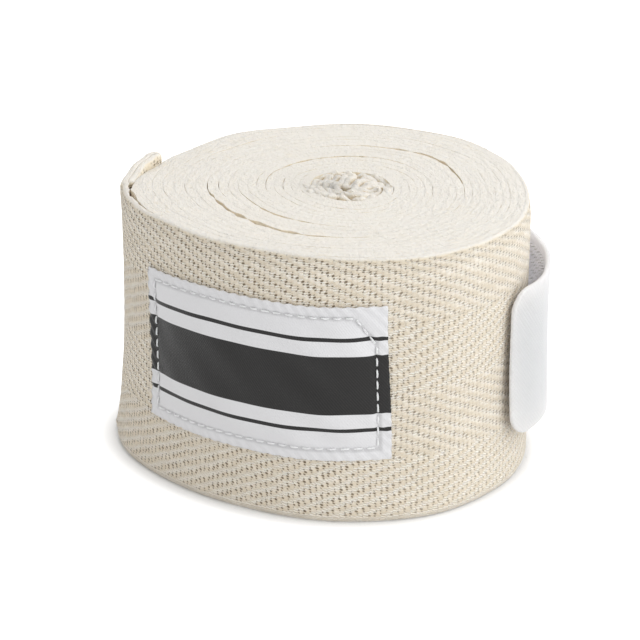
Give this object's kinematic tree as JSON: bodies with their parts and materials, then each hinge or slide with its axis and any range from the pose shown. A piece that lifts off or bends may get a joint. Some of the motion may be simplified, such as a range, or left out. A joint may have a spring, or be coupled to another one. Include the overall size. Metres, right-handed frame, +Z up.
{
  "type": "rolled boxing hand wrap",
  "caption": "Rolled-up cotton herringbone hand wrap with a sewn satin label, a thumb loop in its core and a hook tab that closes on a loop patch.",
  "frame": {"origin": "middle of the whole part's box, on the underside of the roll", "axes": "+Z up along the axis of the roll, +X to the right, -Y to the front, where the label is"},
  "size_m": [0.0792, 0.077, 0.05],
  "materials": {
    "herringbone_cotton": "natural undyed cotton, herringbone twill weave, matt and slightly fuzzy",
    "satin_ribbon": "white polyester satin with a soft sheen",
    "hook_tape": "white woven nylon with moulded hooks on its inner face",
    "loop_pile": "white brushed nylon loops",
    "sewing_thread": "white twisted polyester thread"
  },
  "bodies": {
    "roll": {"wrap_tape": "herringbone_cotton", "thumb_loop": "herringbone_cotton", "label": "satin_ribbon", "loop_patch": "loop_pile", "tab_root": "hook_tape", "hem_stitches": "sewing_thread", "label_stitches": "sewing_thread", "tab_stitches": "sewing_thread"},
    "tab": {"closure_tab": "hook_tape"}
  },
  "joints": [
    {"name": "closure_tab_peel", "type": "hinge", "parent": "roll", "child": "tab", "pos_m": [-0.03648, 0.01384, 0.0235], "axis": [0, 0, 1], "range_deg": [0, 150]}
  ]
}
